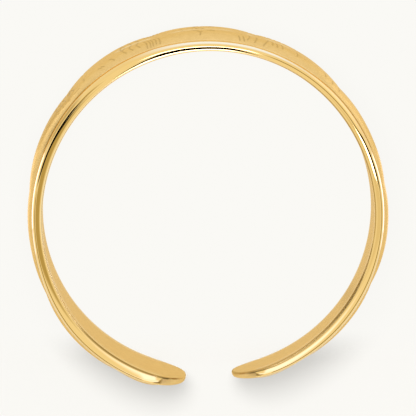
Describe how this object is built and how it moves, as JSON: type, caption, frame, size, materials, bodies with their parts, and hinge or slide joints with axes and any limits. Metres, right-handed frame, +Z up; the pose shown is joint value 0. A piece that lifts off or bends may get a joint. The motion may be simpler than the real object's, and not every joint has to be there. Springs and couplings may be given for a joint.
{
  "type": "open adjustable toe ring",
  "caption": "Open adjustable toe ring: a domed, lobed gold band engraved at the front, with polished edges and rounded tips that spring apart to pass over a toe.",
  "frame": {"origin": "centre of the toe hole, on the surface that the ring lies on", "axes": "+Z up along the ring's axis, +Y towards the engraved front, -Y towards the gap between the tips, +X to the right seen from above"},
  "size_m": [0.0163, 0.0163, 0.004],
  "materials": {
    "gold": "satin yellow gold with polished side edges"
  },
  "bodies": {
    "root": {"ring_band": "gold"}
  },
  "joints": []
}
